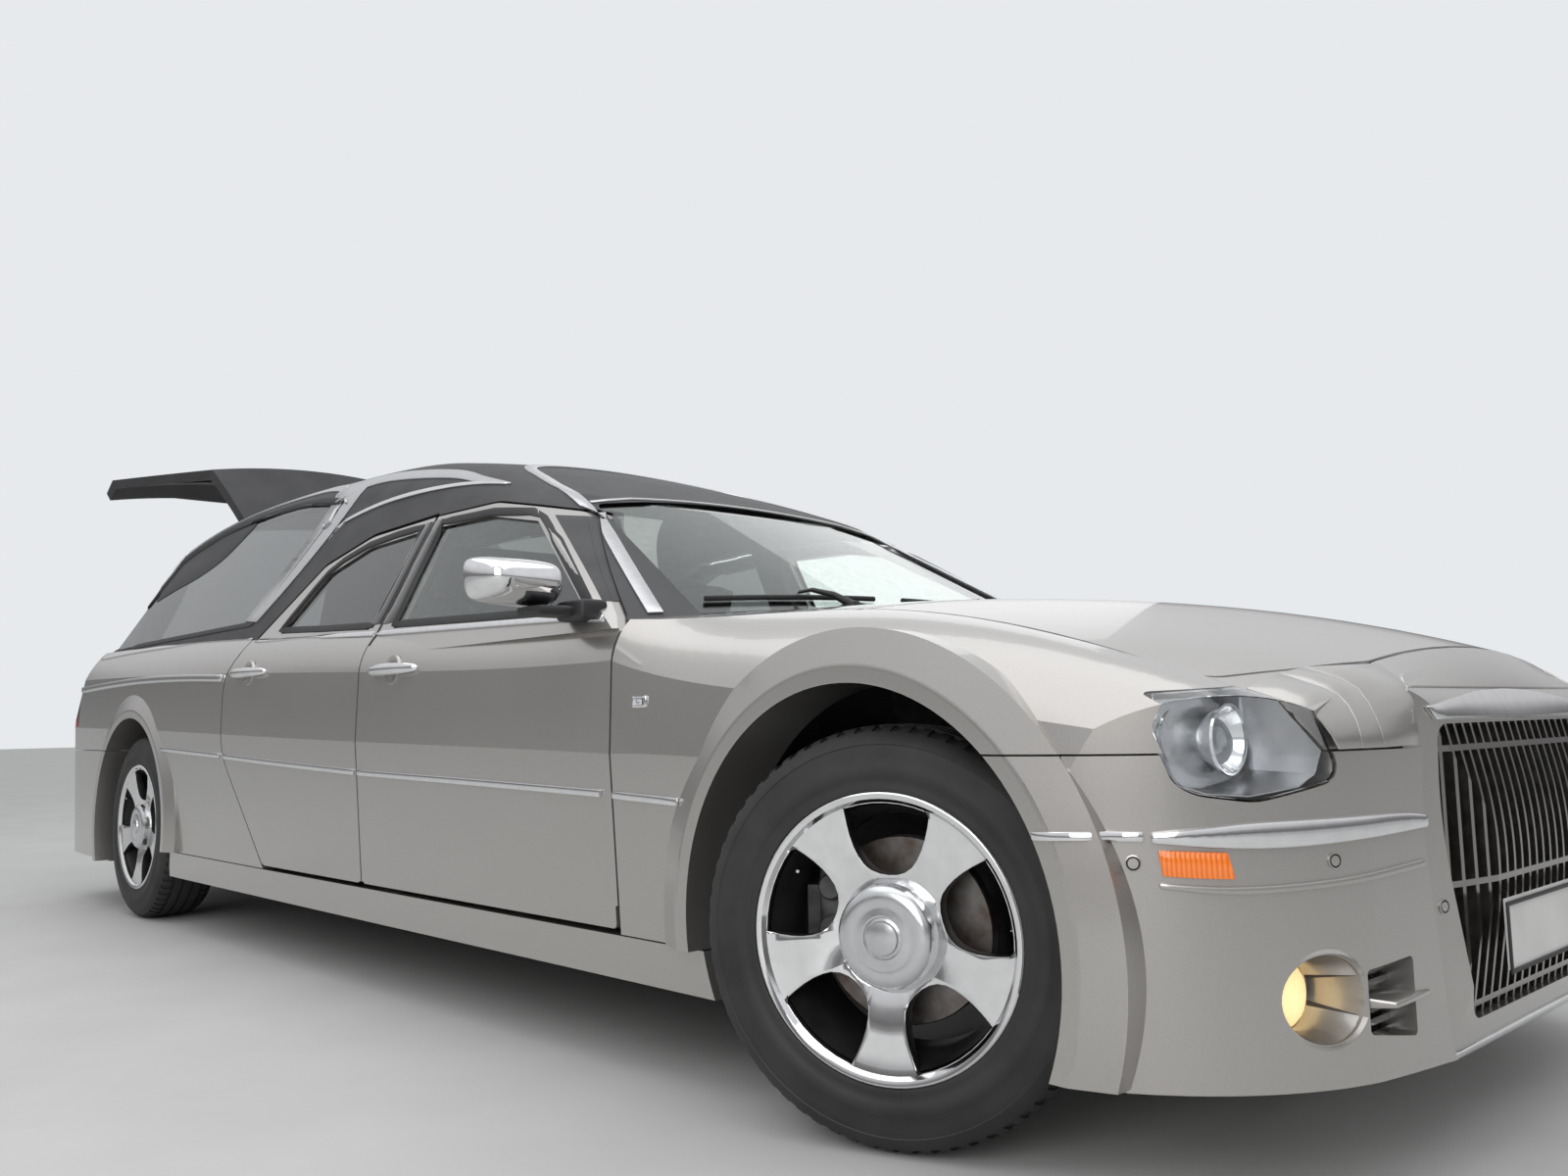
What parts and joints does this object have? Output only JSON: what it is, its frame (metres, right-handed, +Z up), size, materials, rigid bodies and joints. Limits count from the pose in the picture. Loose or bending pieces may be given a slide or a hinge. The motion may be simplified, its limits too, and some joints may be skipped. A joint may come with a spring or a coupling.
{
  "type": "hearse",
  "caption": "Estate-bodied hearse with hinged doors, raised tailgate, steered front wheels, glazed load bay with roller deck, and a vinyl roof.",
  "frame": {"origin": "on the ground, at the middle of the footprint with the tailgate raised as stored", "axes": "+X towards the front of the car, +Y to the car's left, +Z up"},
  "size_m": [6.3395, 2.306, 2.0828],
  "materials": {
    "paint": "gloss metallic",
    "roof_vinyl": "grained vinyl",
    "underbody": "satin",
    "black_plastic": "satin",
    "chrome": "polished",
    "lamp_bowl": "polished",
    "clear_glass": "clear",
    "lamp_glass": "clear",
    "tinted_glass": "tinted",
    "red_lens": "clear",
    "deck_wood": "varnished",
    "leather": "smooth",
    "cast_metal": "rough",
    "exhaust_steel": "brushed",
    "plate": "gloss",
    "tyre": "matt",
    "wheel_chrome": "polished"
  },
  "bodies": {
    "body": {"floor": "underbody", "sills": "paint", "quarter_left": "paint", "quarter_right": "paint", "roof": "roof_vinyl", "bulkhead": "underbody", "wing_left": "paint", "wing_right": "paint", "cowl": "black_plastic", "front_bumper": "paint", "grille_shell": "paint", "grille_slats": "chrome", "headlamps": "lamp_bowl", "headlamp_covers": "clear_glass", "fog_lamps": "lamp_glass", "rear_bumper": "paint", "tail_lamps": "red_lens", "windscreen": "clear_glass", "side_glass": "tinted_glass", "deck": "deck_wood", "partition": "black_plastic", "dashboard": "black_plastic", "steering_wheel": "black_plastic", "front_seats": "leather", "rear_seat": "leather", "engine": "cast_metal", "front_suspension": "cast_metal", "rear_axle": "cast_metal", "exhaust": "exhaust_steel", "fuel_tank": "black_plastic", "wheel_houses": "underbody", "pillars": "black_plastic", "front_frame": "underbody", "number_plates": "plate"},
    "front_door_left_body": {"front_door_left": "paint", "front_door_glass_left": "clear_glass", "mirror_left": "chrome"},
    "front_door_right_body": {"front_door_right": "paint", "front_door_glass_right": "clear_glass", "mirror_right": "chrome"},
    "rear_door_left_body": {"rear_door_left": "paint", "rear_door_glass_left": "tinted_glass"},
    "rear_door_right_body": {"rear_door_right": "paint", "rear_door_glass_right": "tinted_glass"},
    "bonnet_body": {"bonnet": "paint"},
    "tailgate_body": {"tailgate": "roof_vinyl", "tailgate_glass": "tinted_glass"},
    "steer_left_body": {"knuckle_left": "cast_metal"},
    "steer_right_body": {"knuckle_right": "cast_metal"},
    "wheel_front_left": {"tyre_front_left": "tyre", "rim_front_left": "wheel_chrome"},
    "wheel_front_right": {"tyre_front_right": "tyre", "rim_front_right": "wheel_chrome"},
    "wheel_rear_left": {"tyre_rear_left": "tyre", "rim_rear_left": "wheel_chrome"},
    "wheel_rear_right": {"tyre_rear_right": "tyre", "rim_rear_right": "wheel_chrome"}
  },
  "joints": [
    {"name": "front_door_left_hinge", "type": "hinge", "parent": "body", "child": "front_door_left_body", "pos_m": [1.649, 0.945, 0.6], "axis": [0, 0, -1], "range_deg": [0, 65]},
    {"name": "front_door_right_hinge", "type": "hinge", "parent": "body", "child": "front_door_right_body", "pos_m": [1.649, -0.945, 0.6], "axis": [0, 0, 1], "range_deg": [0, 65]},
    {"name": "rear_door_left_hinge", "type": "hinge", "parent": "body", "child": "rear_door_left_body", "pos_m": [0.423, 0.945, 0.6], "axis": [0, 0, -1], "range_deg": [0, 65]},
    {"name": "rear_door_right_hinge", "type": "hinge", "parent": "body", "child": "rear_door_right_body", "pos_m": [0.423, -0.945, 0.6], "axis": [0, 0, 1], "range_deg": [0, 65]},
    {"name": "bonnet_hinge", "type": "hinge", "parent": "body", "child": "bonnet_body", "pos_m": [1.704, 0, 0.955], "axis": [0, -1, 0], "range_deg": [0, 50]},
    {"name": "tailgate_hinge", "type": "hinge", "parent": "body", "child": "tailgate_body", "pos_m": [-1.816, 0, 1.68], "axis": [0, 1, 0], "range_deg": [-60, 0]},
    {"name": "steer_left", "type": "hinge", "parent": "body", "child": "steer_left_body", "pos_m": [2.342, 0.735, 0.358], "axis": [0, 0, 1], "range_deg": [-52, 12]},
    {"name": "steer_right", "type": "hinge", "parent": "body", "child": "steer_right_body", "pos_m": [2.342, -0.735, 0.358], "axis": [0, 0, 1], "range_deg": [-52, 12]},
    {"name": "wheel_front_left_spin", "type": "hinge", "parent": "steer_left_body", "child": "wheel_front_left", "pos_m": [2.31977, 0.79608, 0.358], "axis": [-0.342, 0.9397, 0], "continuous": true},
    {"name": "wheel_front_right_spin", "type": "hinge", "parent": "steer_right_body", "child": "wheel_front_right", "pos_m": [2.36423, -0.79608, 0.358], "axis": [-0.342, 0.9397, 0], "continuous": true},
    {"name": "wheel_rear_left_spin", "type": "hinge", "parent": "body", "child": "wheel_rear_left", "pos_m": [-1.617, 0.8, 0.358], "axis": [0, 1, 0], "continuous": true},
    {"name": "wheel_rear_right_spin", "type": "hinge", "parent": "body", "child": "wheel_rear_right", "pos_m": [-1.617, -0.8, 0.358], "axis": [0, 1, 0], "continuous": true}
  ],
  "couplings": [
    {"joint": "steer_right", "follows": "steer_left", "ratio": 1}
  ]
}
